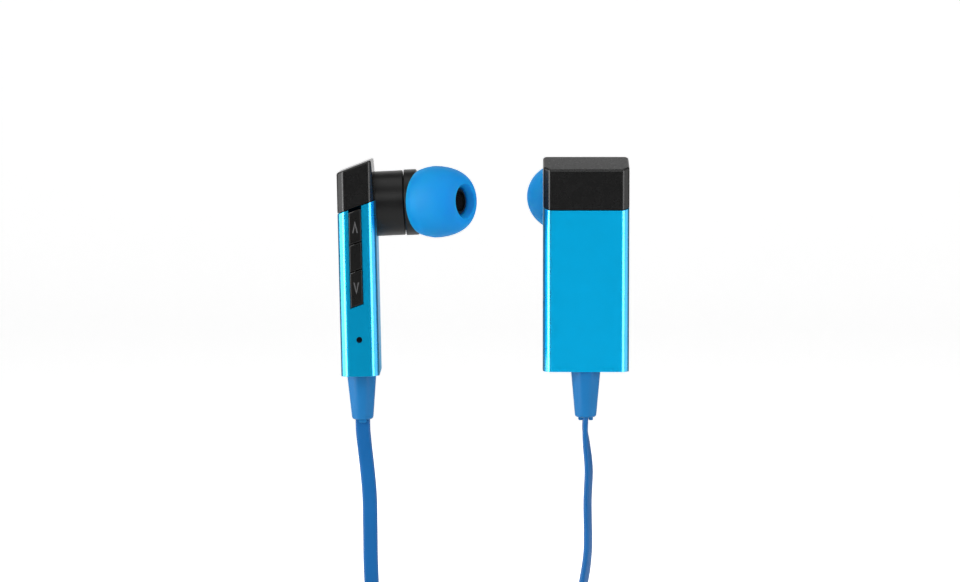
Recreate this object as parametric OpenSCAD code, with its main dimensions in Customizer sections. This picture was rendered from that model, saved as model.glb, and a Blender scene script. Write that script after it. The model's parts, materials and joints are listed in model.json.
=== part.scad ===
/* [Casing] */
// Thickness of an earpiece's casing, from its outer to its inner face
case_t = 7; // [6.9:0.1:7.2]
// Width of the casing, from its front to its rear edge
case_w = 15.8; // [15.7:0.1:16.4]
// Width of the chamfer along each upright corner, seen square on
chamfer = 1.15; // [0.8:0.05:1.3]
// Wall of the metal sleeve
sleeve_wall = 0.8; // [0.7:0.05:0.8]
// Wall of the plastic cap
cap_wall = 0.9; // [0.8:0.05:1]
// Height of the sleeve at its outer face
sleeve_h = 29.7; // [29.4:0.1:30]
// Height of the cap at its outer face
cap_h = 7.4; // [7:0.1:7.8]
// Slope of the seam between the sleeve and the cap, rising towards the inner face
slope = 19; // [17:0.5:20]
// Slope of the cap's top
cap_slope = 20; // [18:0.5:21]
// Angle by which the cap's inner face leans back
cap_lean = 4; // [3:0.5:5]

/* [Speaker] */
// Height of the speaker's axis above the casing's lower edge
axis_h = 31.1; // [30.9:0.1:31.3]
// Upward tilt of the speaker's axis
axis_tilt = 1.5; // [0:0.5:2]
// Diameter of the speaker housing
housing_d = 11.9; // [11.8:0.05:12]
// Length of the housing, from the casing's inner face to the front ring
housing_l = 5.2; // [5:0.1:5.4]
// Diameter of the front ring
ring_d = 12.1; // [12:0.05:12.2]
// Length of the front ring
ring_l = 2.3; // [2:0.1:2.4]
// Angle by which the nozzle turns towards the casing's front edge
nozzle_turn = 33; // [30:1:36]
// Length of the nozzle, from the turn to its mouth
nozzle_l = 11.4; // [11:0.1:11.8]
// Diameter of the nozzle's bore
nozzle_bore = 3.8; // [3.4:0.1:4]

/* [Ear tips] */
// Largest diameter of an ear tip
tip_d = 13.1; // [12.8:0.1:14]
// Diameter of the opening in the tip's stem
stem_bore = 5.3; // [5.3:0.05:5.4]
// Wall of the tip's soft skirt
skirt_wall = 0.55; // [0.5:0.05:0.7]

/* [Keys] */
// Width of the key strip
strip_w = 2.2; // [2:0.1:2.3]
// Gap between a key and what is round it
key_gap = 0.1; // [0.08:0.01:0.12]
// How far the keys stand out of the casing at rest
key_proud = 0.3; // [0.28:0.01:0.4]

/* [Cable] */
// Width of the flat cable
cable_w = 2.7; // [2.5:0.1:2.8]
// Thickness of the flat cable
cable_t = 1; // [0.9:0.05:1]
// Length of a strain relief below the casing
relief_l = 8.6; // [8:0.1:9]
// Diameter of a strain relief at the casing
relief_top_d = 5.4; // [5.2:0.05:5.6]
// Diameter of a strain relief at its lower end
relief_end_d = 3.9; // [3.8:0.05:4.1]

/* [Placing] */
// Angle by which the right earpiece leans outwards
right_lean = 1.2; // [0:0.1:2]
// Distance between the two casings' centres
spacing = 41.3; // [41:0.1:42]
// Height of the left earpiece above the right one
left_rise = 0.4; // [0:0.1:1]

/* [Hidden] */
$fn = 64;
half_t = case_t / 2;
half_w = case_w / 2;
fit = 0.05;
through = 30;
seam_rise = tan(slope);
top_rise = tan(cap_slope);

// Keys: lengths of the volume up, call and volume down keys, and how they sit in the wall
key_lengths = [6, 5, 6.4];
strip_l = key_lengths[0] + key_lengths[1] + key_lengths[2];
strip_x = -0.3;
strip_drop = 0.5;
flange_w = 3.2;
flange_t = 0.4;
wall_in = half_w - sleeve_wall;
key_back = wall_in - 0.08 - flange_t;
mic_h = 6.7;
mic_d = 1.1;

// Charging receptacle in the left casing's front edge
port_x = -0.1;
port_z = 9;
port_w = 2.6;
port_h = 7.5;
port_l = 5;
port_gap = 0.2;

// Speaker: the nozzle turns at this distance from the casing's inner face
turn_at = 5.65;
housing_wall = 0.85;
housing_back = -1.5;
boss_d = 6.8;
boss_l = 5;
shaft_d = 4.7;
barb_d = 5.2;

// Ear tip: distances from the turn, along the nozzle
tip_mouth = 12.8;
tip_widest = 6.1;
tip_edge = 3.7;
stem_d = 6.8;
stem_start = 5.2;
lip_r = 3.1;
rim_r = 3.4;

// Where the right ear tip's mouth is, in the right earpiece's own frame
tilt_dir = [cos(axis_tilt), 0, sin(axis_tilt)];
turn_point = [half_t, 0, axis_h] + turn_at * tilt_dir;
nozzle_dir = cos(nozzle_turn) * tilt_dir + sin(nozzle_turn) * [0, -1, 0];
mouth = turn_point + tip_mouth * nozzle_dir;
function lean(p) = [
    cos(right_lean) * p.x - sin(right_lean) * p.z,
    p.y,
    sin(right_lean) * p.x + cos(right_lean) * p.z
];
right_at = -lean(mouth);
left_at = right_at + [spacing, 0, left_rise];

// Hank: its middle, its upper end loop's centre, its straight run and its turns
hank_x = 5;
hank_y = 7;
hank_top = -108;
hank_run = 31;
turn_r = 6.5;
turn_pitch = 1.1;
half_turns = 7;
hank_out = turn_r + (half_turns + 1) / 2 * turn_pitch;
hank_in = turn_r - turn_pitch / 2;
hank_y_t = 2.8;
tie_z = -133;
tie_w = 4;
tie_t = 0.8;

// Routes of the cable between the strain reliefs and the hank: x, y, z and the turn of its width from X
relief_end = [0, 0, -relief_l];
right_exit = right_at + lean(relief_end);
right_start = right_at + lean(relief_end - [0, 0, 2]);
left_exit = left_at + relief_end;
right_route = [
    [right_exit.x, right_exit.y, right_exit.z, 0],
    [right_start.x, right_start.y, right_start.z, 0],
    [-18.7, 7, -45.5, 0],
    [-18.2, 7, -50, 0],
    [-17.8, 7, -55, 0],
    [-17.7, 7, -61, 0],
    [-17.6, 7, -68, 4],
    [-17.2, 7, -74, 20],
    [-16, 7, -80, 42],
    [-13.8, 7, -86, 62],
    [-11, 7, -92, 78],
    [-8.2, 7, -98, 88],
    [-6.1, 7, -103, 90],
    [-5.35, 7, -108, 90]
];
left_route = [
    [left_exit.x, left_exit.y, left_exit.z, 90],
    [22, 7, -42.5, 90],
    [22.3, 7, -45.5, 76],
    [22.7, 7, -50, 70],
    [22.5, 7, -56, 70],
    [22.6, 7.1, -62, 70],
    [22.5, 7.3, -66, 68],
    [21.8, 7.6, -71, 64],
    [20.4, 8.1, -77, 80],
    [18, 8.8, -83, 88],
    [15.6, 9.5, -89, 90],
    [13.4, 9.9, -95, 90],
    [12, 10, -101, 90],
    [11.5, 9.9, -107, 90],
    [11.5, 9.5, -113, 90],
    [11.5, 8.4, -121, 90]
];

// Placing: each earpiece is drawn with its outer face at -X, its front edge at -Y and its lower edge at z = 0

module right() {
    translate(right_at) rotate([0, -right_lean, 0]) children();
}

module left() {
    translate(left_at) rotate([0, 0, 90]) mirror([0, 1, 0]) children();
}

// The speaker's axis becomes Z, with the casing's inner face at z = 0
module on_speaker() {
    translate([half_t, 0, axis_h]) rotate([0, 90 - axis_tilt, 0]) children();
}

// The nozzle's axis becomes Z, with the turn at z = 0
module on_nozzle() {
    on_speaker() translate([0, 0, turn_at]) rotate([nozzle_turn, 0, 0]) children();
}

// Shapes that several pieces use

// The casing's outline, drawn in by a wall
module outline(inset) {
    x = half_t - inset;
    y = half_w - inset;
    c = chamfer - inset * (2 - sqrt(2));
    polygon([
        [x - c, -y], [x, c - y], [x, y - c], [x - c, y],
        [c - x, y], [-x, y - c], [-x, c - y], [c - x, -y]
    ]);
}

// What lies above the sloping plane whose height at the outer face is h
module above(h, rise = seam_rise) {
    translate([0, through, 0]) rotate([90, 0, 0]) linear_extrude(2 * through) polygon([
        [-through, h + (half_t - through) * rise],
        [through, h + (half_t + through) * rise],
        [through, 4 * through], [-through, 4 * through]
    ]);
}

// A bar across the front edge, from y = -front to y = -back, whose ends follow the seam's slope
module sloped_bar(width, from_top, to_bottom, front, back) {
    top_z = sleeve_h - strip_drop + (strip_x + half_t) * seam_rise;
    end_rise = width / 2 * seam_rise;
    translate([strip_x, -back, 0]) rotate([90, 0, 0]) linear_extrude(front - back) polygon([
        [-width / 2, top_z - to_bottom - end_rise], [width / 2, top_z - to_bottom + end_rise],
        [width / 2, top_z - from_top + end_rise], [-width / 2, top_z - from_top - end_rise]
    ]);
}

// A rectangle with round ends, upright, for the hank
module racetrack(r) {
    translate([0, hank_top]) circle(r);
    translate([0, hank_top - hank_run]) circle(r);
    translate([-r, hank_top - hank_run]) square([2 * r, hank_run]);
}

// Casing

module sleeve_body() {
    difference() {
        linear_extrude(sleeve_h + 2 * half_t) outline(0);
        translate([0, 0, -1]) linear_extrude(sleeve_h + 2 * case_t) outline(sleeve_wall);
        above(sleeve_h);
        on_speaker() translate([0, 0, -2]) cylinder(d = housing_d + 2 * fit, h = 6);
    }
}

module right_sleeve() {
    color([0.05, 0.6, 0.85]) right() difference() {
        sleeve_body();
        sloped_bar(strip_w + 2 * key_gap, -1, strip_l + key_gap, half_w + 1, wall_in - 1);
        translate([0, -wall_in + 1, mic_h]) rotate([90, 0, 0]) cylinder(d = mic_d, h = 3, $fn = 24);
    }
}

module left_sleeve() {
    color([0.05, 0.6, 0.85]) left() difference() {
        sleeve_body();
        translate([port_x - port_w / 2 - port_gap, -half_w - 1, port_z - port_h / 2 - port_gap])
            cube([port_w + 2 * port_gap, 3, port_h + 2 * port_gap]);
    }
}

// What lies beyond the cap's leaning inner face
module leaning_side() {
    rotate([0, -cap_lean, 0]) translate([0, -through, 0]) cube([through, 2 * through, 2 * through]);
}

// The cap with its spigot, which plugs into the sleeve
module cap_body() {
    spigot_l = 1.5;
    spigot_wall = 0.7;
    difference() {
        difference() {
            linear_extrude(60) outline(0);
            above(sleeve_h + cap_h, top_rise);
            translate([half_t, 0, sleeve_h]) leaning_side();
        }
        difference() {
            linear_extrude(60) outline(cap_wall);
            above(sleeve_h + cap_h - cap_wall, top_rise);
            translate([half_t - cap_wall, 0, sleeve_h]) leaning_side();
        }
        difference() {
            translate([0, 0, -1]) linear_extrude(80) outline(-1);
            above(sleeve_h);
        }
        on_speaker() translate([0, 0, -3]) cylinder(d = housing_d + 2 * fit, h = 9);
    }
    difference() {
        linear_extrude(60) outline(sleeve_wall + fit);
        translate([0, 0, -1]) linear_extrude(80) outline(sleeve_wall + spigot_wall);
        above(sleeve_h + 0.6);
        difference() {
            translate([0, 0, -1]) linear_extrude(80) outline(-1);
            above(sleeve_h - spigot_l);
        }
        translate([-through, -half_w, 0]) cube([2 * through, 3, 80]);
        on_speaker() translate([0, 0, -5]) cylinder(d = housing_d + 2 * fit, h = 9);
        translate([half_t - cap_wall, 0, sleeve_h]) leaning_side();
    }
}

module right_cap() {
    color([0.12, 0.12, 0.13]) right() cap_body();
}

module left_cap() {
    color([0.12, 0.12, 0.13]) left() cap_body();
}

plug_z = 0.4;
plug_l = 2.4;
neck_d = 3.2;
tab_w = 1.4;
tab_t = 0.8;
tab_l = 0.6;

// The plug that closes the sleeve's lower end
module end_plug() {
    difference() {
        translate([0, 0, plug_z]) linear_extrude(plug_l) outline(sleeve_wall + fit);
        cylinder(d = neck_d + 2 * fit, h = 10);
    }
}

module right_end_plug() {
    color([0.1, 0.1, 0.12]) right() end_plug();
}

module left_end_plug() {
    color([0.1, 0.1, 0.12]) left() end_plug();
}

// The strain relief: a taper below the casing with two tabs beside the cable,
// a neck through the plug and a flange that holds it
module strain_relief() {
    flange_l = 0.9;
    seat_d = 5.1;
    translate([0, 0, -relief_l]) cylinder(d1 = relief_end_d, d2 = relief_top_d, h = relief_l - fit);
    translate([0, 0, -2 * fit]) cylinder(d = seat_d, h = plug_z + 2 * fit);
    translate([0, 0, -2 * fit]) cylinder(d = neck_d, h = plug_z + plug_l + flange_l + 2 * fit);
    translate([0, 0, plug_z + plug_l]) cylinder(d = 4.6, h = flange_l);
    for (side = [-1, 1])
        translate([-tab_w / 2, side * (cable_t / 2 + tab_t / 2 + fit) - tab_t / 2, -relief_l - tab_l])
            cube([tab_w, tab_t, tab_l + 0.5]);
}

module right_strain_relief() {
    color([0.12, 0.45, 0.72]) right() strain_relief();
}

module left_strain_relief() {
    color([0.12, 0.45, 0.72]) left() strain_relief();
}

// The carrier: a tray along the outer wall with a rear and a lower rib
module carrier() {
    back_x = -2.65;
    tray_z = 4;
    tray_h = 23.4;
    translate([back_x, -6.2, tray_z]) cube([0.55, 12.6, tray_h]);
    translate([back_x + 0.35, 6.05, tray_z]) cube([4, 0.7, tray_h]);
    translate([back_x, -6.2, tray_z]) cube([4.4, 12.6, 0.5]);
}

module right_carrier() {
    color([0.2, 0.2, 0.22]) right() carrier();
}

module left_carrier() {
    color([0.2, 0.2, 0.22]) left() carrier();
}

// Speaker

module speaker_housing() {
    inner_d = housing_d - 2 * housing_wall;
    on_speaker() difference() {
        translate([0, 0, housing_back]) cylinder(d = housing_d, h = housing_l - housing_back);
        translate([0, 0, housing_back + 0.6]) cylinder(d = inner_d, h = housing_l + 5);
        translate([0, 3.8, housing_back - 1]) cylinder(d = 1, h = 3, $fn = 24);
    }
}

module right_speaker_housing() {
    color([0.13, 0.13, 0.14]) right() speaker_housing();
}

module left_speaker_housing() {
    color([0.13, 0.13, 0.14]) left() speaker_housing();
}

// The front ring with its cone, the turned nozzle and the barb that holds the ear tip
module nozzle() {
    spigot_d = housing_d - 2 * housing_wall - 2 * fit;
    front = housing_l + ring_l;
    cone_l = 2.1;
    hollow_d = 8.8;
    difference() {
        union() {
            on_speaker() translate([0, 0, housing_l]) cylinder(d = ring_d, h = ring_l);
            on_speaker() translate([0, 0, housing_l - 1.2]) cylinder(d = spigot_d, h = 1.3);
            on_speaker() translate([0, 0, front]) cylinder(d1 = ring_d - 0.5, d2 = 7, h = cone_l);
            on_nozzle() cylinder(d = boss_d, h = boss_l);
            on_nozzle() cylinder(d = shaft_d, h = nozzle_l);
            on_nozzle() translate([0, 0, nozzle_l - 1.8]) cylinder(d = barb_d, h = 1.6);
        }
        on_speaker() translate([0, 0, housing_l - 2]) cylinder(d = hollow_d, h = ring_l + 1.6);
        on_speaker() translate([0, 0, front - 0.45]) cylinder(d1 = hollow_d, d2 = 4, h = cone_l - 0.6);
        on_nozzle() translate([0, 0, 1]) cylinder(d = nozzle_bore, h = nozzle_l);
    }
}

module right_nozzle() {
    color([0.13, 0.13, 0.14]) right() nozzle();
}

module left_nozzle() {
    color([0.13, 0.13, 0.14]) left() nozzle();
}

module nozzle_mesh() {
    on_nozzle() translate([0, 0, nozzle_l - 0.6]) cylinder(d = nozzle_bore - 0.02, h = 0.3);
}

module right_nozzle_mesh() {
    color([0.3, 0.3, 0.32]) right() nozzle_mesh();
}

module left_nozzle_mesh() {
    color([0.3, 0.3, 0.32]) left() nozzle_mesh();
}

// A quarter of an ellipse in the tip's profile, from its widest ring towards the mouth
function dome(r_wide, r_top, top, steps) = [
    for (i = [0:steps]) let (a = 90 * i / steps)
        [r_top + (r_wide - r_top) * cos(a), tip_widest + (top - tip_widest) * sin(a)]
];

module ear_tip() {
    wide_r = tip_d / 2;
    stem_r = stem_d / 2;
    outer = dome(wide_r, rim_r, tip_mouth - 0.1, 12);
    inner = dome(wide_r - skirt_wall, stem_r, 10.8, 12);
    on_nozzle() rotate_extrude() polygon(concat(
        [[wide_r - 0.5, tip_edge], [wide_r - 0.25, tip_edge + 1]],
        outer,
        [[rim_r - 0.35, tip_mouth], [lip_r, tip_mouth - 0.15], [stem_bore / 2, tip_mouth - 1.2]],
        [[stem_bore / 2, stem_start], [stem_r, stem_start]],
        [for (i = [len(inner) - 1:-1:0]) inner[i]],
        [[wide_r - 0.5 - skirt_wall, tip_edge]]
    ));
}

module right_ear_tip() {
    color([0.1, 0.55, 0.88]) right() ear_tip();
}

module left_ear_tip() {
    color([0.1, 0.55, 0.88]) left() ear_tip();
}

// Driver: heights are measured from the casing's inner face, along the speaker's axis
magnet_d = 6.4;
coil_in = 4.8;
coil_out = 5.2;
coil_gap = 0.12;

module driver_basket() {
    on_speaker() difference() {
        translate([0, 0, -0.2]) cylinder(d = 10, h = 3.4);
        translate([0, 0, 0.6]) cylinder(d = 9.2, h = 4);
        translate([0, 0, -1]) cylinder(d = magnet_d, h = 3);
    }
}

module driver_magnet() {
    on_speaker() difference() {
        translate([0, 0, -0.2]) cylinder(d = magnet_d, h = 2.2);
        translate([0, 0, 0.6]) difference() {
            cylinder(d = coil_out + 2 * coil_gap, h = 3);
            translate([0, 0, -1]) cylinder(d = coil_in - 2 * coil_gap, h = 5);
        }
    }
}

module diaphragm() {
    on_speaker() translate([0, 0, 2.6]) {
        cylinder(d = 8.8, h = 0.12);
        translate([0, 0, -1.3]) difference() {
            cylinder(d = coil_out, h = 1.35);
            translate([0, 0, -1]) cylinder(d = coil_in, h = 2.35);
        }
    }
}

module right_driver_basket() {
    color([0.6, 0.6, 0.62]) right() driver_basket();
}

module left_driver_basket() {
    color([0.6, 0.6, 0.62]) left() driver_basket();
}

module right_driver_magnet() {
    color([0.7, 0.7, 0.72]) right() driver_magnet();
}

module left_driver_magnet() {
    color([0.7, 0.7, 0.72]) left() driver_magnet();
}

module right_diaphragm() {
    color([0.8, 0.75, 0.6]) right() diaphragm();
}

module left_diaphragm() {
    color([0.8, 0.75, 0.6]) left() diaphragm();
}

// Electronics of the right earpiece

board_x = -1.4;
board_t = 0.8;

module main_board() {
    color([0.08, 0.3, 0.16]) right() {
        translate([board_x, -4.6, 5]) cube([board_t, 10.6, 24.3]);
        translate([board_x + board_t, -0.5, 11]) cube([0.9, 5, 5]);
        translate([board_x + board_t, 1, 18.4]) cube([0.8, 3, 3]);
        translate([board_x + board_t, -3.2, 12]) cube([0.7, 1.6, 3.2]);
        translate([board_x + board_t, -3, 20]) cube([0.5, 1, 2]);
    }
}

// Height of a key's middle
function key_mid(i) = sleeve_h - strip_drop + (strip_x + half_t) * seam_rise
    - (i > 0 ? key_lengths[0] : 0) - (i > 1 ? key_lengths[1] : 0) - key_lengths[i] / 2;

module tact_switches() {
    color([0.75, 0.75, 0.78]) right() for (i = [0:2]) {
        translate([-1.9, -5.9, key_mid(i) - 1.3]) cube([3, 1.25, 2.6]);
        translate([-0.8, -6.3, key_mid(i) - 0.6]) cube([1, 0.5, 1.2]);
    }
}

module microphone() {
    color([0.8, 0.75, 0.4]) right() difference() {
        translate([-1.4, -wall_in + 0.05, mic_h - 1.3]) cube([2.8, 1, 2.6]);
        translate([0, -wall_in + 0.5, mic_h]) rotate([90, 0, 0]) cylinder(d = 0.8, h = 2, $fn = 24);
    }
}

module antenna() {
    color([0.85, 0.7, 0.4]) right() {
        translate([-1.9, -4.5, 31.5]) cube([0.2, 9, 4.2]);
        translate([-1.9, -4.5, 31.5]) cube([1.3, 1, 0.2]);
    }
}

// A key: a bar in the slot and a flange behind the wall
module key(i) {
    start = (i > 0 ? key_lengths[0] : 0) + (i > 1 ? key_lengths[1] : 0) + key_gap / 2;
    end = start + key_lengths[i] - key_gap;
    sloped_bar(strip_w, start, end, half_w + key_proud, wall_in - 0.1);
    sloped_bar(flange_w, start + 0.1, end - 0.1, key_back + flange_t, key_back);
}

module volume_up_key() {
    color([0.1, 0.1, 0.11]) right() key(0);
}

module call_key() {
    color([0.1, 0.1, 0.11]) right() key(1);
}

module volume_down_key() {
    color([0.1, 0.1, 0.11]) right() key(2);
}

// Electronics of the left earpiece

module battery() {
    color([0.7, 0.72, 0.75]) left() {
        translate([-2, -6, 14]) cube([3.7, 12, 15]);
        translate([-0.6, -2.5, 13.4]) cube([0.9, 5, 0.6]);
    }
}

module charging_board() {
    color([0.08, 0.3, 0.16]) left() {
        translate([port_x - port_w / 2 - 0.7, -6.6, 4.7]) cube([0.7, 12.6, 8.6]);
        translate([port_x - port_w / 2, 0, 6]) cube([0.8, 2, 2]);
        translate([port_x - port_w / 2, 3, 8.6]) cube([0.6, 1.6, 2.4]);
    }
}

// The receptacle: a folded metal shell with a tongue inside
module charging_port() {
    shell_t = 0.3;
    color([0.75, 0.76, 0.78]) left() translate([port_x, -half_w + 0.15, port_z]) {
        difference() {
            translate([-port_w / 2, 0, -port_h / 2]) cube([port_w, port_l, port_h]);
            translate([-port_w / 2 + shell_t, -1, -port_h / 2 + shell_t])
                cube([port_w - 2 * shell_t, port_l, port_h - 2 * shell_t]);
        }
        translate([-0.3, 0.8, -port_h / 2 + 1.6]) cube([0.6, port_l - 0.9, port_h - 3.2]);
    }
}

// Cable

// The cable's section, in shares of half its width and half its thickness: flat, with its corners taken off
cable_corners = [[1, -0.4], [1, 0.4], [0.75, 1], [-0.75, 1], [-1, 0.4], [-1, -0.4], [-0.75, -1], [0.75, -1]];
cable_ring = [for (c = cable_corners) [c.x * cable_w / 2, c.y * cable_t / 2]];

function place(p) = [p.x, p.y, p.z];
function unit(v) = v / norm(v);

// Direction of a route at one of its points
function heading(route, i) = let (n = len(route) - 1)
    unit(place(route[min(i + 1, n)]) - place(route[max(i - 1, 0)]));

// The eight corners of the cable's section at a point of its route
function section(route, i) = let (
    t = i == 0 ? unit(place(route[1]) - place(route[0])) : heading(route, i),
    flat = [cos(route[i][3]), sin(route[i][3]), 0],
    w = unit(flat - (flat * t) * t),
    u = cross(t, w)
) [for (c = cable_ring) place(route[i]) + c.x * w + c.y * u];

module swept(route) {
    n = len(route);
    s = len(cable_ring);
    polyhedron(
        points = [for (i = [0:n - 1]) each section(route, i)],
        faces = concat(
            [[for (k = [0:s - 1]) k]],
            [for (i = [0:n - 2]) for (k = [0:s - 1]) each [
                [i * s + k, (i + 1) * s + k, (i + 1) * s + (k + 1) % s],
                [i * s + k, (i + 1) * s + (k + 1) % s, i * s + (k + 1) % s]
            ]],
            [[for (k = [s - 1:-1:0]) (n - 1) * s + k]]
        )
    );
}

module right_cable_run() {
    color([0.1, 0.42, 0.7]) swept(right_route);
}

module left_cable_run() {
    color([0.1, 0.42, 0.7]) swept(left_route);
}

module cable_hank() {
    color([0.1, 0.42, 0.7]) translate([hank_x, hank_y + hank_y_t / 2, 0]) rotate([90, 0, 0])
        linear_extrude(hank_y_t) difference() {
            racetrack(hank_out);
            racetrack(hank_in);
        }
}

module hank_tie() {
    wide = 2 * hank_out;
    color([0.12, 0.12, 0.13]) translate([hank_x, hank_y, tie_z]) difference() {
        translate([-wide / 2 - tie_t, -hank_y_t / 2 - tie_t, 0])
            cube([wide + 2 * tie_t, hank_y_t + 2 * tie_t, tie_w]);
        translate([-wide / 2, -hank_y_t / 2, -1]) cube([wide, hank_y_t, tie_w + 2]);
    }
}

right_sleeve();
right_cap();
right_end_plug();
right_strain_relief();
right_carrier();
right_speaker_housing();
right_nozzle();
right_nozzle_mesh();
right_ear_tip();
right_driver_basket();
right_driver_magnet();
right_diaphragm();
main_board();
tact_switches();
microphone();
antenna();
volume_up_key();
call_key();
volume_down_key();
left_sleeve();
left_cap();
left_end_plug();
left_strain_relief();
left_carrier();
left_speaker_housing();
left_nozzle();
left_nozzle_mesh();
left_ear_tip();
left_driver_basket();
left_driver_magnet();
left_diaphragm();
battery();
charging_board();
charging_port();
right_cable_run();
left_cable_run();
cable_hank();
hank_tie();
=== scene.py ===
import json
import math
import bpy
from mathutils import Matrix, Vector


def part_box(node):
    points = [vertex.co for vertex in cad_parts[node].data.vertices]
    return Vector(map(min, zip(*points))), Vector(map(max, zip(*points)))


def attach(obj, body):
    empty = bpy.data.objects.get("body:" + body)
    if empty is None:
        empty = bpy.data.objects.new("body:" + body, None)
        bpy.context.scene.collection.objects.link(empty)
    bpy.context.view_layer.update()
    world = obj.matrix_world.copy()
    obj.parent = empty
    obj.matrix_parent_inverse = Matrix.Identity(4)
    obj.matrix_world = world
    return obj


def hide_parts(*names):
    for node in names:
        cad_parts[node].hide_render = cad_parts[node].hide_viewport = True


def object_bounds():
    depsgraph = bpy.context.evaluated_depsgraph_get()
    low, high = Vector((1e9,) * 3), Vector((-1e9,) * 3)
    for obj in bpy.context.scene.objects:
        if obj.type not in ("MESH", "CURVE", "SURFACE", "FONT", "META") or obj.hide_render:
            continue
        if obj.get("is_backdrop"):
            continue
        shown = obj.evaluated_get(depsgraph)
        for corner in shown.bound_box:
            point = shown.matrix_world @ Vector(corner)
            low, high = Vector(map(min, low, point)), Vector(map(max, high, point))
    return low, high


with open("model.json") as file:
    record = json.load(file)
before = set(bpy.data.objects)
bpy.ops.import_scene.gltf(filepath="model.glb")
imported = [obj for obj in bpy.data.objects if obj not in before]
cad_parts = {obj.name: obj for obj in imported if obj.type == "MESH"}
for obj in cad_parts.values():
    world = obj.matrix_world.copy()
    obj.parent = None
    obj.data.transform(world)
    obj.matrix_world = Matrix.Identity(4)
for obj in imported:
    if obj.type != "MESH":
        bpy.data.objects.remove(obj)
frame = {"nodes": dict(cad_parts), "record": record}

from types import SimpleNamespace

import bmesh
import bpy
from bpy.props import FloatProperty, FloatVectorProperty, IntProperty, PointerProperty
from mathutils import Matrix, Vector

bl_info = {
    "name": "Cabled wireless earphones",
    "version": (1, 0, 0),
    "blender": (4, 5, 0),
    "location": "View3D > Sidebar > Earphones",
    "description": "Builds the visible pieces of a pair of wireless earphones round their CAD frame",
    "category": "Add Mesh",
}

MM = 0.001
SIDES = ("right", "left")
ROOT = "earphones"
# Height of the outer face's mount above the casing's lower edge, in millimetres
FACE_MOUNT_H = 15.0


# Sizes and colours that a user would change


def length(name, description, millimetres):
    """A length property, given in millimetres and kept in metres."""
    return FloatProperty(
        name=name, description=description, default=millimetres * MM, min=0.0, unit="LENGTH", precision=5
    )


def angle(name, description, degrees):
    """An angle property, given in degrees."""
    return FloatProperty(name=name, description=description, default=math.radians(degrees), subtype="ANGLE")


def colour(name, description, value):
    """A colour property, in linear light."""
    return FloatVectorProperty(
        name=name, description=description, default=value, min=0.0, max=1.0, subtype="COLOR"
    )


def share(name, description, value):
    """A property from 0 to 1."""
    return FloatProperty(
        name=name, description=description, default=value, min=0.0, max=1.0, subtype="FACTOR"
    )


class CasingSizes(bpy.types.PropertyGroup):
    """Sizes of the metal sleeve and the plastic cap."""

    thick: length("Thickness", "From the outer to the inner face", 7.0)
    wide: length("Width", "From the front to the rear edge", 15.8)
    chamfer: length("Chamfer", "Cut along the upright corners", 1.15)
    corner_round: length("Corner rounding", "Rounding of the chamfers' own edges", 0.55)
    sleeve_h: length("Sleeve height", "At the outer face", 29.7)
    cap_h: length("Cap height", "At the outer face", 7.4)
    sleeve_wall: length("Sleeve wall", "Thickness of the metal", 0.8)
    cap_wall: length("Cap wall", "Thickness of the plastic", 0.9)
    slope: angle("Seam slope", "Slope of the seam between the sleeve and the cap", 19.0)
    cap_slope: angle("Cap slope", "Slope of the cap's top", 20.0)
    cap_lean: angle("Cap lean", "Lean of the cap's inner face", 4.0)
    seam_gap: length("Seam gap", "Dark line between the sleeve and the cap", 0.08)
    rim: length("Cap rounding", "Rounding of the cap's upright and top edges", 0.65)
    edge: length("Edge", "Small break on the sleeve's ends", 0.1)


class SpeakerSizes(bpy.types.PropertyGroup):
    """Sizes of the speaker housing and its turned nozzle."""

    axis_h: length("Axis height", "Above the casing's lower edge", 31.1)
    housing_d: length("Housing diameter", "Outer diameter", 11.9)
    housing_l: length("Housing length", "From the inner face to the front ring", 5.2)
    back: length("Depth inside", "How far the housing reaches into the casing", 1.5)
    wall: length("Wall", "Thickness of the housing", 0.85)
    ring_d: length("Ring diameter", "Outer diameter of the front ring", 12.1)
    ring_l: length("Ring length", "Length of the front ring", 2.3)
    groove: length("Groove", "Gap between the housing and the ring", 0.16)
    turn_at: length("Turn", "From the inner face to the nozzle's turn", 5.65)
    cone_l: length("Cone length", "From the ring to the cone's end", 2.1)
    boss_d: length("Boss diameter", "Where the nozzle leaves the cone", 6.8)
    boss_l: length("Boss length", "From the turn to the tip's seat", 5.0)
    shaft_d: length("Shaft diameter", "Of the nozzle behind its barb", 4.7)
    barb_d: length("Barb diameter", "Of the ridge that holds the ear tip", 5.2)
    nozzle_l: length("Nozzle length", "From the turn to the nozzle's mouth", 11.4)
    bore: length("Bore", "Of the nozzle", 3.8)
    wire_d: length("Wire diameter", "Of the mesh in the nozzle", 0.11)
    wire_pitch: length("Wire pitch", "Of the mesh in the nozzle", 0.3)


class TipSizes(bpy.types.PropertyGroup):
    """Sizes of the soft ear tips, with distances along the nozzle from its turn."""

    wide: length("Diameter", "Largest diameter", 13.1)
    mouth: length("Mouth", "Distance of the mouth", 12.8)
    widest: length("Widest", "Distance of the widest ring", 6.1)
    edge: length("Skirt edge", "Distance of the skirt's free edge", 3.7)
    edge_in: length("Edge draw-in", "How much smaller the free edge's radius is", 0.5)
    wall: length("Skirt wall", "Thickness of the skirt", 0.55)
    stem_d: length("Stem diameter", "Outer diameter of the stem", 6.8)
    stem_bore: length("Stem bore", "Inner diameter of the stem", 5.3)
    stem_start: length("Stem start", "Distance of the stem's end", 5.2)
    rim_r: length("Rim radius", "Where the dome meets the flat lip", 3.4)
    lip_r: length("Lip radius", "Inner radius of the lip", 3.1)


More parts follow.
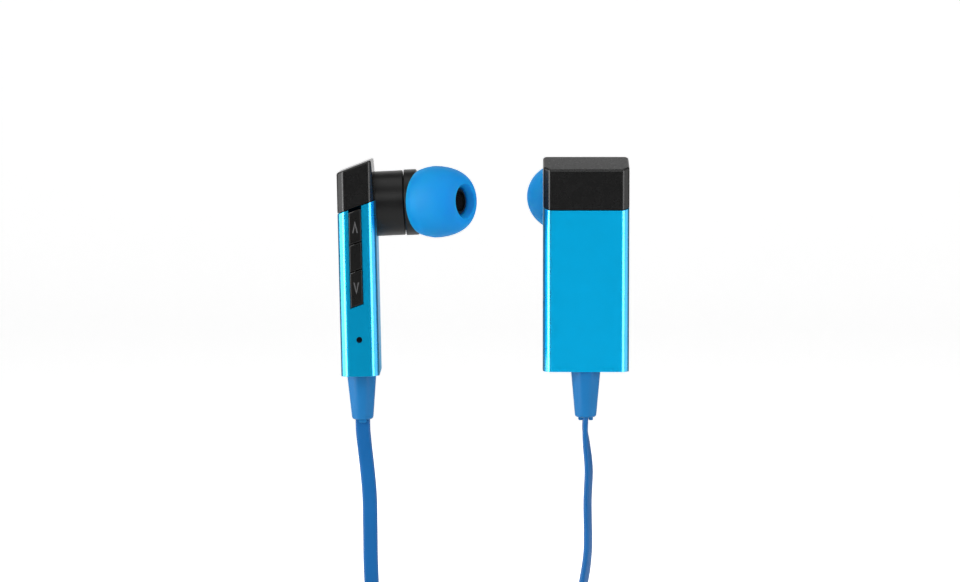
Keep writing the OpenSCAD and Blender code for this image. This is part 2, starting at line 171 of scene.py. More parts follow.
class KeySizes(bpy.types.PropertyGroup):
    """Sizes of the key strip in the right sleeve's front edge."""

    wide: length("Width", "Of the key strip", 2.2)
    up_l: length("Volume up length", "Length of the upper key", 6.0)
    call_l: length("Call length", "Length of the middle key", 5.0)
    down_l: length("Volume down length", "Length of the lower key", 6.4)
    gap: length("Gap", "Round each key", 0.1)
    proud: length("Stand", "How far the keys stand out", 0.3)
    drop: length("Drop", "From the seam to the strip", 0.5)
    shift: length("Shift", "Of the strip towards the outer face", 0.3)
    flange_w: length("Flange width", "Behind the wall", 3.2)
    flange_t: length("Flange thickness", "Behind the wall", 0.4)
    mic_d: length("Microphone hole", "Diameter", 1.1)
    mic_h: length("Microphone height", "Above the casing's lower edge", 6.7)
    mark_w: length("Mark width", "Of the chevrons", 1.05)
    mark_h: length("Mark height", "Of the chevrons", 2.2)
    mark_line: length("Mark line", "Width of a chevron's stroke", 0.22)
    port_w: length("Socket width", "Opening for the charging socket, across", 3.0)
    port_h: length("Socket height", "Opening for the charging socket, upright", 7.9)
    port_z: length("Socket place", "Middle of the socket above the lower edge", 9.0)
    port_x: length("Socket shift", "Of the socket towards the outer face", 0.1)


class CableSizes(bpy.types.PropertyGroup):
    """Sizes of the flat cable, its hank and the strain reliefs."""

    wide: length("Width", "Of the flat cable", 2.7)
    thick: length("Thickness", "Of the flat cable", 1.0)
    whole: length("Length", "Of the cable, from one strain relief to the other", 570.0)
    turn_r: length("Inner turn", "Radius of the hank's inner end loop", 6.5)
    pitch: length("Pitch", "From one turn to the next", 1.1)
    relief_l: length("Relief length", "Of a strain relief below the casing", 8.6)
    relief_top_d: length("Relief top", "Diameter at the casing", 5.4)
    relief_end_d: length("Relief end", "Diameter at the lower end", 3.9)
    tab_w: length("Tab width", "Of the tabs beside the cable", 1.4)
    tab_t: length("Tab thickness", "Of the tabs beside the cable", 0.8)
    tab_l: length("Tab length", "Of the tabs below the strain relief", 0.6)
    half_turns: IntProperty(name="Half turns", description="Loops at the hank's ends", default=7, min=1)


class FinishColours(bpy.types.PropertyGroup):
    """Colours of the visible pieces."""

    metal: colour("Metal", "Anodised sleeves", (0.002, 0.46, 0.84))
    black: colour("Black", "Caps and housings", (0.002, 0.002, 0.002))
    key_black: colour("Key black", "Keys", (0.002, 0.002, 0.002))
    mark: colour("Marks", "Chevrons on the keys", (0.07, 0.07, 0.073))
    silicone: colour("Silicone", "Ear tips", (0.002, 0.218, 0.57))
    relief: colour("Relief", "Strain reliefs", (0.002, 0.135, 0.36))
    cable: colour("Cable", "Flat cable", (0.002, 0.094, 0.29))


class StudioSizes(bpy.types.PropertyGroup):
    """Camera and light of the stage."""

    distance: length("Distance", "From the camera to the object", 600.0)
    focal: FloatProperty(
        name="Focal length", description="Of the camera, in millimetres", default=122.2, min=1.0
    )
    elevation: angle("Elevation", "How far the camera looks down", 4.0)
    sky: share("Sky", "Strength of the soft light from all round", 0.12)


GROUPS = {
    "casing": CasingSizes,
    "speaker": SpeakerSizes,
    "tip": TipSizes,
    "key": KeySizes,
    "cable": CableSizes,
    "colours": FinishColours,
    "studio": StudioSizes,
}


def in_mm(group):
    """A property group's values, with its lengths in millimetres."""
    values = {}
    for name in group.__annotations__:
        value = getattr(group, name)
        is_length = group.bl_rna.properties[name].unit == "LENGTH"
        values[name] = value / MM if is_length else value
    return SimpleNamespace(**values)


def sizes(*names):
    """The named groups of the scene, with their lengths in millimetres."""
    return [in_mm(getattr(bpy.context.scene, "earphone_" + name)) for name in names]


# Places, which come from the frame


def mount(name):
    """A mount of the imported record."""
    return next(m for m in frame["record"]["mounts"] if m["name"] == name)


def joint(name):
    """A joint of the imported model."""
    return next(j for j in frame["record"]["behaviour"]["joints"] if j["name"] == name)


def axes(origin, x, y, z):
    """The matrix from millimetres along three directions to the row frame."""
    columns = Matrix((x, y, z)).transposed().to_4x4()
    return Matrix.Translation(origin) @ columns @ Matrix.Scale(MM, 4)


def earpiece(side, casing):
    """From an earpiece's own frame: outer face at -X, front edge at -Y, lower edge at z = 0."""
    face = mount(side + "_outer_face")
    inward = -Vector(face["axis"]).normalized()
    rear = Vector((0, 1, 0)) if side == "right" else Vector((1, 0, 0))
    up = inward.cross(rear) if side == "right" else rear.cross(inward)
    middle = Vector(face["pos_m"]) + inward * casing.thick / 2 * MM - up * FACE_MOUNT_H * MM
    return axes(middle, inward, rear, up)


def speaker_axes(casing, speaker, tilt):
    """From the speaker's frame, whose Z is its axis, to the earpiece's frame, both in millimetres."""
    start = Matrix.Translation((casing.thick / 2, 0, speaker.axis_h))
    return start @ Matrix.Rotation(math.pi / 2 - tilt, 4, "Y")


def nozzle_axes(casing, speaker, tilt, turn):
    """From the nozzle's frame, whose Z is its axis, to the earpiece's frame, both in millimetres."""
    at_turn = Matrix.Translation((0, 0, speaker.turn_at))
    return speaker_axes(casing, speaker, tilt) @ at_turn @ Matrix.Rotation(turn, 4, "X")


def speaker_angles():
    """Upward tilt of the speaker's axis and turn of the nozzle, from the earpiece that hangs plumb."""
    stroke = Vector(joint("left_cone_stroke")["axis"])
    nozzle = Vector(mount("left_ear")["axis"])
    return math.asin(stroke.z), stroke.angle(nozzle)


# Shapes


def outline(casing, inset=0.0):
    """The casing's eight-cornered outline, drawn in by a wall."""
    x = casing.thick / 2 - inset
    y = casing.wide / 2 - inset
    c = casing.chamfer - inset * (2 - math.sqrt(2))
    quarter = [(x - c, -y), (x, c - y), (x, y - c), (x - c, y)]
    return quarter + [(-px, -py) for px, py in quarter]


def prism(points, low, high):
    """A closed solid with that outline between two heights."""
    bm = bmesh.new()
    face = bm.faces.new([bm.verts.new((x, y, low)) for x, y in points])
    grown = bmesh.ops.extrude_face_region(bm, geom=[face])["geom"]
    verts = [v for v in grown if isinstance(v, bmesh.types.BMVert)]
    bmesh.ops.translate(bm, verts=verts, vec=(0, 0, high - low))
    bmesh.ops.recalc_face_normals(bm, faces=bm.faces)
    return bm


def block(low, high):
    """A box between two corners."""
    corners = [(low[0], low[1]), (high[0], low[1]), (high[0], high[1]), (low[0], high[1])]
    return prism(corners, low[2], high[2])


def rod(radius, low, high, steps=64):
    """A cylinder along Z."""
    bm = bmesh.new()
    bmesh.ops.create_cone(bm, cap_ends=True, segments=steps, radius1=radius, radius2=radius, depth=high - low)
    bmesh.ops.translate(bm, verts=bm.verts, vec=(0, 0, (low + high) / 2))
    return bm


def rounded(corners, steps=4, closed=False):
    """A profile of (radius, height, fillet) corners with each fillet drawn as an arc."""
    count = len(corners)
    profile = []
    for i, (x, y, fillet) in enumerate(corners):
        here = Vector((x, y))
        if fillet == 0 or (not closed and i in (0, count - 1)):
            profile.append(here)
            continue
        before = (Vector(corners[i - 1][:2]) - here).normalized()
        after = (Vector(corners[(i + 1) % count][:2]) - here).normalized()
        half = before.angle(after) / 2
        middle = here + (before + after).normalized() * fillet / math.sin(half)
        start = here + before * fillet / math.tan(half) - middle
        sweep = start.angle_signed(here + after * fillet / math.tan(half) - middle)
        for k in range(steps + 1):
            profile.append(middle + start @ Matrix.Rotation(sweep * k / steps, 2))
    return [(p.x, p.y) for p in profile]


def lathe(profile, steps=96, closed=False):
    """A profile of (radius, height) points turned about Z."""
    bm = bmesh.new()
    verts = [bm.verts.new((r, 0, z)) for r, z in profile]
    edges = [bm.edges.new(pair) for pair in zip(verts, verts[1:])]
    if closed:
        edges.append(bm.edges.new((verts[-1], verts[0])))
    bmesh.ops.spin(
        bm, geom=verts + edges, cent=(0, 0, 0), axis=(0, 0, 1), angle=2 * math.pi, steps=steps, use_merge=True
    )
    bmesh.ops.remove_doubles(bm, verts=bm.verts, dist=1e-4)
    bmesh.ops.recalc_face_normals(bm, faces=bm.faces)
    return bm


def slice_off(bm, point, normal):
    """Takes away what lies on the normal's side of a plane and closes the cut."""
    geom = bm.verts[:] + bm.edges[:] + bm.faces[:]
    cut = bmesh.ops.bisect_plane(bm, geom=geom, dist=1e-5, plane_co=point, plane_no=normal, clear_outer=True)
    edges = [e for e in cut["geom_cut"] if isinstance(e, bmesh.types.BMEdge)]
    bmesh.ops.holes_fill(bm, edges=edges)
    bmesh.ops.recalc_face_normals(bm, faces=bm.faces)
    return bm


def soften(bm, width, segments, wanted):
    """Rounds the edges that a test picks."""
    edges = [e for e in bm.edges if len(e.link_faces) == 2 and wanted(e)]
    bmesh.ops.bevel(
        bm, geom=edges, offset=width, offset_type="OFFSET", segments=segments, profile=0.5,
        affect="EDGES", clamp_overlap=True, material=-1,
    )
    return bm


def upright(edge):
    """Whether an edge runs along Z."""
    run = (edge.verts[0].co - edge.verts[1].co).normalized()
    return abs(run.z) > 0.98 and edge.calc_face_angle(0) > 0.2


def sharp(edge):
    """Whether an edge's faces meet at a clear angle."""
    return edge.calc_face_angle(0) > 0.5


def loose(bm):
    """A bmesh as a passing object."""
    mesh = bpy.data.meshes.new("passing")
    bm.to_mesh(mesh)
    bm.free()
    item = bpy.data.objects.new("passing", mesh)
    bpy.context.scene.collection.objects.link(item)
    return item


def combined(first, second, operation):
    """Two closed solids joined or cut, as a new bmesh."""
    items = [loose(first), loose(second)]
    modifier = items[0].modifiers.new("combine", "BOOLEAN")
    modifier.operation = operation
    modifier.solver = "EXACT"
    modifier.object = items[1]
    depsgraph = bpy.context.evaluated_depsgraph_get()
    mesh = bpy.data.meshes.new_from_object(items[0].evaluated_get(depsgraph), depsgraph=depsgraph)
    bm = bmesh.new()
    bm.from_mesh(mesh)
    bpy.data.meshes.remove(mesh)
    for item in items:
        bpy.data.meshes.remove(item.data)
    return bm


def less(bm, *cutters):
    """A solid with others cut out of it."""
    for cutter in cutters:
        bm = combined(bm, cutter, "DIFFERENCE")
    return bm


def plus(bm, *others):
    """Solids joined into one."""
    for other in others:
        bm = combined(bm, other, "UNION")
    return bm


def moved(bm, matrix):
    """The bmesh under a matrix."""
    bmesh.ops.transform(bm, matrix=matrix, verts=bm.verts)
    return bm


def together(*parts):
    """Several bmeshes as one, without joining their surfaces."""
    mesh = bpy.data.meshes.new("passing")
    whole = bmesh.new()
    for part in parts:
        part.to_mesh(mesh)
        part.free()
        whole.from_mesh(mesh)
    bpy.data.meshes.remove(mesh)
    return whole


def settle(name, bm, place, body, finishes, nodes, sharp_at=40.0):
    """Makes a piece of a bmesh, puts it in the row frame, hangs it on its body and hides the CAD parts that
    it stands for.
    """
    bm.transform(place)
    if place.determinant() < 0:
        bmesh.ops.reverse_faces(bm, faces=bm.faces)
    mesh = bpy.data.meshes.new(name)
    bm.to_mesh(mesh)
    bm.free()
    mesh.shade_smooth()
    mesh.set_sharp_from_angle(angle=math.radians(sharp_at))
    for finish in finishes:
        mesh.materials.append(bpy.data.materials[finish])
    piece = bpy.data.objects.new(name, mesh)
    bpy.context.scene.collection.objects.link(piece)
    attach(piece, body)
    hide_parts(*nodes)
    return piece


def flatten(piece):
    """Keeps broad faces flat in the shading beside their rounded edges."""
    modifier = piece.modifiers.new("flat faces", "WEIGHTED_NORMAL")
    modifier.keep_sharp = True


# Finishes


# Depth of the surfaces' fine grain, in metres
GRAIN_DEPTH = 0.00002


def link(tree, *pairs):
    """Links pairs of sockets."""
    for source, target in pairs:
        tree.links.new(source, target)


def node(tree, kind, **inputs):
    """A node with its unlinked inputs set by name."""
    item = tree.nodes.new(kind)
    for name, value in inputs.items():
        item.inputs[name.replace("_", " ")].default_value = value
    return item


def maths(tree, operation, first, second):
    """A math node of two inputs, each a socket or a number."""
    item = tree.nodes.new("ShaderNodeMath")
    item.operation = operation
    for slot, value in zip(item.inputs, (first, second)):
        if isinstance(value, bpy.types.NodeSocket):
            tree.links.new(value, slot)
        else:
            slot.default_value = value
    return item.outputs[0]


def new_group(name, inputs, outputs):
    """A shader node group with named inputs and outputs: (tree, input node, output node)."""
    tree = bpy.data.node_groups.new(name, "ShaderNodeTree")
    for label, kind, value in inputs:
        tree.interface.new_socket(label, in_out="INPUT", socket_type=kind).default_value = value
    for label, kind in outputs:
        tree.interface.new_socket(label, in_out="OUTPUT", socket_type=kind)
    return tree, tree.nodes.new("NodeGroupInput"), tree.nodes.new("NodeGroupOutput")


def build_moulded_surface():
    """Group: a colour that drifts softly, a roughness that varies and a fine grain."""
    tree, given, result = new_group(
        "Moulded surface",
        [
            ("Colour", "NodeSocketColor", (0.5, 0.5, 0.5, 1.0)),
            ("Drift", "NodeSocketFloat", 0.05),
            ("Patch scale", "NodeSocketFloat", 200.0),
            ("Roughness", "NodeSocketFloat", 0.5),
            ("Roughness span", "NodeSocketFloat", 0.06),
            ("Grain scale", "NodeSocketFloat", 6000.0),
        ],
        [("Colour", "NodeSocketColor"), ("Roughness", "NodeSocketFloat"), ("Height", "NodeSocketFloat")],
    )
    place = tree.nodes.new("ShaderNodeTexCoord").outputs["Object"]
    patches = node(tree, "ShaderNodeTexNoise", Detail=3.0)
    grain = node(tree, "ShaderNodeTexNoise", Detail=2.0, Roughness=0.6)
    smears = node(tree, "ShaderNodeTexNoise", Detail=4.0, Roughness=0.6)
    link(
        tree,
        (place, patches.inputs["Vector"]),
        (given.outputs["Patch scale"], patches.inputs["Scale"]),
        (place, grain.inputs["Vector"]),
        (given.outputs["Grain scale"], grain.inputs["Scale"]),
        (place, smears.inputs["Vector"]),
        (maths(tree, "MULTIPLY", given.outputs["Patch scale"], 3.0), smears.inputs["Scale"]),
        (grain.outputs["Fac"], result.inputs["Height"]),
    )
    swing = maths(tree, "SUBTRACT", patches.outputs["Fac"], 0.5)
    swing = maths(tree, "MULTIPLY", maths(tree, "MULTIPLY", swing, 4.0), given.outputs["Drift"])
    gain = maths(tree, "ADD", swing, 1.0)
    tint = tree.nodes.new("ShaderNodeVectorMath")
    tint.operation = "SCALE"
    smear = maths(tree, "MULTIPLY", maths(tree, "SUBTRACT", smears.outputs["Fac"], 0.5), 2.0)
    rough_shift = maths(tree, "MULTIPLY", smear, given.outputs["Roughness span"])
    link(
        tree,
        (given.outputs["Colour"], tint.inputs[0]),
        (gain, tint.inputs["Scale"]),
        (tint.outputs["Vector"], result.inputs["Colour"]),
        (maths(tree, "ADD", given.outputs["Roughness"], rough_shift), result.inputs["Roughness"]),
    )


def build_weave():
    """Group: a plain weave of hooks and loops, as a mask and a height."""
    tree, given, result = new_group(
        "Woven band",
        [("Pitch", "NodeSocketFloat", 3000.0)],
        [("Mask", "NodeSocketFloat"), ("Height", "NodeSocketFloat")],
    )
    place = tree.nodes.new("ShaderNodeTexCoord").outputs["Object"]
    waves = []
    for direction in ("X", "Z"):
        wave = node(tree, "ShaderNodeTexWave", Distortion=0.6, Detail=1.0)
        wave.bands_direction = direction
        link(tree, (place, wave.inputs["Vector"]), (given.outputs["Pitch"], wave.inputs["Scale"]))
        waves.append(wave.outputs["Fac"])
    woven = maths(tree, "MULTIPLY", *waves)
    link(tree, (woven, result.inputs["Mask"]), (woven, result.inputs["Height"]))


def finish(name, tint, rough, drift=0.05, patch=200.0, span=0.05, grain=6000.0, bump=0.15, **plain):
    """A material on the moulded surface group; what is constant is set on the shader itself."""
    material = bpy.data.materials.new(name)
    material.use_nodes = True
    tree = material.node_tree
    shader = tree.nodes["Principled BSDF"]
    surface = tree.nodes.new("ShaderNodeGroup")
    surface.node_tree = bpy.data.node_groups["Moulded surface"]
    given = {
        "Colour": (*tint, 1.0), "Drift": drift, "Patch scale": patch,
        "Roughness": rough, "Roughness span": span, "Grain scale": grain,
    }
    for label, value in given.items():
        surface.inputs[label].default_value = value
    relief = node(tree, "ShaderNodeBump", Strength=bump, Distance=GRAIN_DEPTH)
    link(
        tree,
        (surface.outputs["Colour"], shader.inputs["Base Color"]),
        (surface.outputs["Roughness"], shader.inputs["Roughness"]),
        (surface.outputs["Height"], relief.inputs["Height"]),
        (relief.outputs["Normal"], shader.inputs["Normal"]),
    )
    for label, value in plain.items():
        shader.inputs[label.replace("_", " ")].default_value = value
    return material


def board_finish():
    """Green solder mask with copper tracks under it and bright pads."""
    material = finish("solder mask", (0.02, 0.16, 0.07), 0.32, drift=0.15, grain=3000.0, Coat_Weight=0.3)
    tree = material.node_tree
    shader = tree.nodes["Principled BSDF"]
    place = tree.nodes.new("ShaderNodeTexCoord").outputs["Object"]
    tracks = node(tree, "ShaderNodeTexBrick", Scale=700.0, Mortar_Size=0.012)
    tracks.inputs["Color1"].default_value = (0.02, 0.15, 0.07, 1.0)
    tracks.inputs["Color2"].default_value = (0.03, 0.2, 0.09, 1.0)
    tracks.inputs["Mortar"].default_value = (0.09, 0.34, 0.13, 1.0)
    turned = node(tree, "ShaderNodeMapping")
    turned.inputs["Rotation"].default_value = (math.pi / 2, 0.0, math.pi / 2)
    link(
        tree,
        (place, turned.inputs["Vector"]),
        (turned.outputs["Vector"], tracks.inputs["Vector"]),
        (tracks.outputs["Color"], shader.inputs["Base Color"]),
    )
    return material


def band_finish():
    """Black woven band."""
    material = finish("woven band", (0.02, 0.02, 0.022), 0.85, Sheen_Weight=0.4)
    tree = material.node_tree
    weave = tree.nodes.new("ShaderNodeGroup")
    weave.node_tree = bpy.data.node_groups["Woven band"]
    relief = next(n for n in tree.nodes if n.type == "BUMP")
    relief.inputs["Strength"].default_value = 0.8
    relief.inputs["Distance"].default_value = 0.0001
    link(tree, (weave.outputs["Height"], relief.inputs["Height"]))
    return material


class MakeFinishes(bpy.types.Operator):
    """Build the materials of all the pieces"""

    bl_idname = "earphones.finishes"
    bl_label = "Finishes"

    def execute(self, context):
        build_moulded_surface()
        build_weave()
        self.metals(context.scene.earphone_colours)
        self.plastics(context.scene.earphone_colours)
        self.inner_pieces()
        board_finish()
        band_finish()
        return {"FINISHED"}

    def metals(self, tints):
        """The sleeves' broad faces, chamfers, and narrow edges darkened with painted shade."""
        fine = {"drift": 0.02, "span": 0.03, "grain": 9000.0, "Metallic": 1.0}
        satin = {"bump": 0.08, "Coat_Weight": 0.08, "Coat_Roughness": 0.25}
        polish = {"bump": 0.03, "Coat_Weight": 1.0, "Coat_Roughness": 0.12, "Coat_IOR": 1.7}
        # Painted shade: the narrow edges get a copy of the metal colour darkened to 0.7, a shaded copy of the
        # anodised blue
        painted_shade_tint = [0.7 * value for value in tints.metal]
        finish("anodised blue", tints.metal, 0.46, **fine, **satin)
        finish("anodised edge", painted_shade_tint, 0.46, **fine, **satin)
        finish("polished chamfer", tints.metal, 0.28, **fine, **polish)

    def plastics(self, tints):
        """The black plastics and the soft blue pieces."""
        finish("cap black", tints.black, 0.27, drift=0.08, grain=7000.0, bump=0.12, Specular_IOR_Level=0.45)
        finish("housing black", tints.black, 0.38, drift=0.08, bump=0.2, Specular_IOR_Level=0.3)
        finish(
            "key black", tints.key_black, 0.28, drift=0.08, grain=8000.0, bump=0.12, Specular_IOR_Level=0.35
        )
        finish("key mark", tints.mark, 0.5, drift=0.06, grain=8000.0)
        finish(
            "silicone blue", tints.silicone, 0.55, drift=0.03, patch=120.0, grain=5000.0, bump=0.1,
            Subsurface_Weight=0.6, Subsurface_Radius=(0.3, 0.6, 1.0), Subsurface_Scale=0.004,
            Specular_IOR_Level=0.15,
        )
        finish("relief blue", tints.relief, 0.36, grain=5000.0, Specular_IOR_Level=0.25)
        finish(
            "cable blue", tints.cable, 0.33, drift=0.06, patch=90.0, grain=4000.0, bump=0.12,
            Specular_IOR_Level=0.25,
        )

    def inner_pieces(self):
        """What is inside, and the nozzles' mesh."""
        finish("plug black", (0.012, 0.012, 0.014), 0.5, grain=5000.0, bump=0.25)
        finish("carrier grey", (0.06, 0.06, 0.066), 0.55, grain=5000.0, bump=0.25)
        finish("mesh steel", (0.012, 0.012, 0.013), 0.45, Metallic=1.0, grain=12000.0)
        finish("basket grey", (0.1, 0.1, 0.11), 0.45, grain=5000.0)
        finish("magnet nickel", (0.65, 0.63, 0.6), 0.16, drift=0.04, Metallic=1.0, bump=0.04)
        finish(
            "diaphragm film", (0.6, 0.5, 0.32), 0.22, drift=0.1, Coat_Weight=0.6, Transmission_Weight=0.15
        )
        finish("switch steel", (0.55, 0.55, 0.56), 0.3, Metallic=1.0)
        finish("microphone boot", (0.012, 0.012, 0.013), 0.75, grain=5000.0, bump=0.3)
        finish("antenna bronze", (0.65, 0.42, 0.2), 0.3, Metallic=1.0)
        finish("battery foil", (0.55, 0.56, 0.58), 0.35, Metallic=1.0, patch=500.0, grain=1500.0, bump=0.4)
        finish("socket steel", (0.6, 0.6, 0.61), 0.25, Metallic=1.0)


# Stage


# Middle of the earpieces, which the camera and the lights face: the cable hangs below the view
AIM = Vector((0.0026, 0.0069, -0.01685))
# Soft lights: place, width and height in metres, and power in watts
LIGHTS = {
    "left strip": ((-0.66, -0.34, 0.05), (0.34, 0.9), 7.5),
    "left panel": ((-0.7, 0.0, 0.02), (0.35, 0.9), 2.2),
    "right strip": ((0.6, -0.42, 0.05), (0.34, 0.9), 4.2),
    "right panel": ((0.7, 0.0, 0.02), (0.35, 0.9), 1.1),
    "top panel": ((0.0, -0.1, 0.7), (1.0, 0.5), 2.2),
    "front panel": ((0.0, -0.9, 0.5), (0.8, 0.4), 2.4),
    "back panel": ((0.0, 0.86, 0.28), (0.9, 0.84), 2.0),
}
# The camera looks through this light
UNSEEN_LIGHT = "back panel"
# From the hank's lowest point down to the floor, in metres
FLOOR_GAP = 0.01


def area_light(name, place, size, power):
    """A soft rectangular light that faces the object."""
    data = bpy.data.lights.new(name, "AREA")
    data.shape = "RECTANGLE"
    data.size, data.size_y = size
    data.energy = power
    item = bpy.data.objects.new(name, data)
    bpy.context.scene.collection.objects.link(item)
    item.location = place
    item.rotation_euler = (AIM - Vector(place)).to_track_quat("-Z", "Y").to_euler()
    if name == UNSEEN_LIGHT:
        item.visible_camera = False


class MakeStage(bpy.types.Operator):
    """Build the camera, the lights and the pale sweep behind the object"""

    bl_idname = "earphones.stage"
    bl_label = "Stage"

    def execute(self, context):
        scene = context.scene
        studio = scene.earphone_studio
        low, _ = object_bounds()
        self.add_camera(scene, studio)
        self.add_sweep(scene, low.z - FLOOR_GAP)
        for name, light in LIGHTS.items():
            area_light(name, *light)
        self.add_sky(scene, studio)
        scene.view_settings.view_transform = "Standard"
        return {"FINISHED"}

    def add_camera(self, scene, studio):
        """The camera, which looks a little down on the earpieces."""
        data = bpy.data.cameras.new("camera")
        data.lens = studio.focal
        data.clip_start = 0.01
        data.clip_end = 20.0
        camera = bpy.data.objects.new("camera", data)
        scene.collection.objects.link(camera)
        back = Vector((0, -math.cos(studio.elevation), math.sin(studio.elevation)))
        camera.location = AIM + back * studio.distance
        camera.rotation_euler = (-back).to_track_quat("-Z", "Y").to_euler()
        scene.camera = camera

    def add_sky(self, scene, studio):
        """A sky that the camera sees as white, and that gives the object only its soft light."""
        world = bpy.data.worlds.new("sky")
        world.use_nodes = True
        sky = world.node_tree.nodes["Background"]
        sky.inputs["Color"].default_value = (1.0, 1.0, 1.0, 1.0)
        seen = world.node_tree.nodes.new("ShaderNodeLightPath").outputs["Is Camera Ray"]
        link(world.node_tree, (maths(world.node_tree, "MAXIMUM", seen, studio.sky), sky.inputs["Strength"]))
        scene.world = world

    def add_sweep(self, scene, floor_z):
        """A floor that curves up into a backdrop."""
        reach, depth, tall, bend, steps = 4.0, 2.5, 3.0, 0.8, 12
        bm = bmesh.new()
        path = [(-depth, floor_z), (depth - bend, floor_z)]
        for k in range(1, steps + 1):
            turn = math.pi / 2 * k / steps
            path.append((depth - bend + bend * math.sin(turn), floor_z + bend * (1 - math.cos(turn))))
        path.append((depth, tall))
        verts = [bm.verts.new((-reach, y, z)) for y, z in path]
        edges = [bm.edges.new(pair) for pair in zip(verts, verts[1:])]
        grown = bmesh.ops.extrude_edge_only(bm, edges=edges)["geom"]
        far = [v for v in grown if isinstance(v, bmesh.types.BMVert)]
        bmesh.ops.translate(bm, verts=far, vec=(2 * reach, 0, 0))
        mesh = bpy.data.meshes.new("sweep")
        bm.to_mesh(mesh)
        bm.free()
        mesh.shade_smooth()
        paper = bpy.data.materials.new("white paper")
        paper.use_nodes = True
        shader = paper.node_tree.nodes["Principled BSDF"]
        shader.inputs["Base Color"].default_value = (0.9, 0.9, 0.9, 1.0)
        shader.inputs["Roughness"].default_value = 0.9
        shader.inputs["Emission Strength"].default_value = 0.8
        # The paper glows for the camera alone, so that it throws no light up at the object
        seen = paper.node_tree.nodes.new("ShaderNodeLightPath").outputs["Is Camera Ray"]
        link(paper.node_tree, (seen, shader.inputs["Emission Color"]))
        mesh.materials.append(paper)
        sweep = bpy.data.objects.new("sweep", mesh)
        scene.collection.objects.link(sweep)
        sweep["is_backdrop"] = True


# Cable


# Routes between the strain reliefs and the hank, in metres: x, y, z and the turn of the cable's width from X
RIGHT_ROUTE = [
    (-0.0187, 0.007, -0.0455, 0),
    (-0.0182, 0.007, -0.050, 0),
    (-0.0178, 0.007, -0.055, 0),
    (-0.0177, 0.007, -0.061, 0),
    (-0.0176, 0.007, -0.068, 4),
    (-0.0172, 0.007, -0.074, 20),
    (-0.016, 0.007, -0.080, 42),
    (-0.0138, 0.007, -0.086, 62),
    (-0.011, 0.007, -0.092, 78),
    (-0.0082, 0.007, -0.098, 88),
    (-0.0061, 0.007, -0.103, 90),
    (-0.00535, 0.007, -0.108, 90),
]
LEFT_ROUTE = [
    (0.022, 0.007, -0.0425, 90),
    (0.0223, 0.007, -0.0455, 76),
    (0.0227, 0.007, -0.050, 70),
    (0.0225, 0.007, -0.056, 70),
    (0.0226, 0.0071, -0.062, 70),
    (0.0225, 0.0073, -0.066, 68),
    (0.0218, 0.0076, -0.071, 64),
    (0.0204, 0.0081, -0.077, 80),
    (0.018, 0.0088, -0.083, 88),
    (0.0156, 0.0095, -0.089, 90),
    (0.0134, 0.0099, -0.095, 90),
    (0.012, 0.010, -0.101, 90),
    (0.0115, 0.0099, -0.107, 90),
    (0.0115, 0.0095, -0.113, 90),
    (0.0115, 0.0084, -0.121, 90),
]
# The hank: its middle in X and Y, and the heights of its end loops' centres
HANK_X, HANK_Y, HANK_TOP, HANK_LOW = 0.005, 0.007, -0.108, -0.139


def hank_turns(cable):
    """The wound middle of the cable, from the outer turn inwards, as route points."""
    points = []
    step = cable.pitch / 2
    outer = cable.turn_r + cable.half_turns * step
    run = HANK_TOP - HANK_LOW
    for half in range(cable.half_turns + 1):
        side = 1 if half % 2 else -1
        start = HANK_LOW if half % 2 else HANK_TOP
        radius = outer - half * step
        last = half == cable.half_turns
        for share_done in ((0.2, 0.4) if last else (0.2, 0.4, 0.6, 0.8)):
            points.append((HANK_X + side * radius * MM, HANK_Y, start + side * run * share_done, 90))
        if not last:
            points += end_loop(side, radius, step, start + side * run)
    return points


def end_loop(side, radius, step, centre_z, steps=12):
    """Half a turn at the hank's end, whose radius shrinks by a step."""
    points = []
    for k in range(steps + 1):
        turn = math.pi * k / steps
        here = (radius - step * k / steps) * MM
        x = HANK_X + side * here * math.cos(turn)
        points.append((x, HANK_Y, centre_z + side * here * math.sin(turn), 90))
    return points


def smooth_route(points, spacing):
    """A curve through the route's points, cut into short steps: places and turns of the width."""
    points = [Vector((x, y, z, turn * MM)) for x, y, z, turn in points]
    ends = [2 * points[0] - points[1]] + points + [2 * points[-1] - points[-2]]
    fine = []
    for a, b, c, d in zip(ends, ends[1:], ends[2:], ends[3:]):
        steps = max(2, round((c - b).length / spacing))
        for k in range(steps):
            t = k / steps
            bend = (2 * a - 5 * b + 4 * c - d) * t ** 2 + (3 * b - a - 3 * c + d) * t ** 3
            fine.append(b + ((c - a) * t + bend) / 2)
    fine.append(points[-1])
    return [(Vector(p[:3]), p[3] / MM) for p in fine]


def ribbon(route, wide, thick):
    """A flat cable with rounded edges swept along a smoothed route."""
    section = rounded(
        [(x * wide / 2, y * thick / 2, thick * 0.42) for x, y in ((1, -1), (1, 1), (-1, 1), (-1, -1))],
        steps=4, closed=True,
    )
    bm = bmesh.new()
    rings = []
    last = len(route) - 1
    for i, (place, turn) in enumerate(route):
        ahead = (route[min(i + 1, last)][0] - route[max(i - 1, 0)][0]).normalized()
        flat = Vector((math.cos(math.radians(turn)), math.sin(math.radians(turn)), 0))
        across = (flat - flat.dot(ahead) * ahead).normalized()
        through = ahead.cross(across)
        rings.append([bm.verts.new(place + x * across + y * through) for x, y in section])
    for ring, following in zip(rings, rings[1:]):
        for k in range(len(section)):
            j = (k + 1) % len(section)
            bm.faces.new((ring[k], following[k], following[j], ring[j]))
    bm.faces.new(rings[0])
    bm.faces.new(rings[-1])
    bmesh.ops.recalc_face_normals(bm, faces=bm.faces)
    return bm


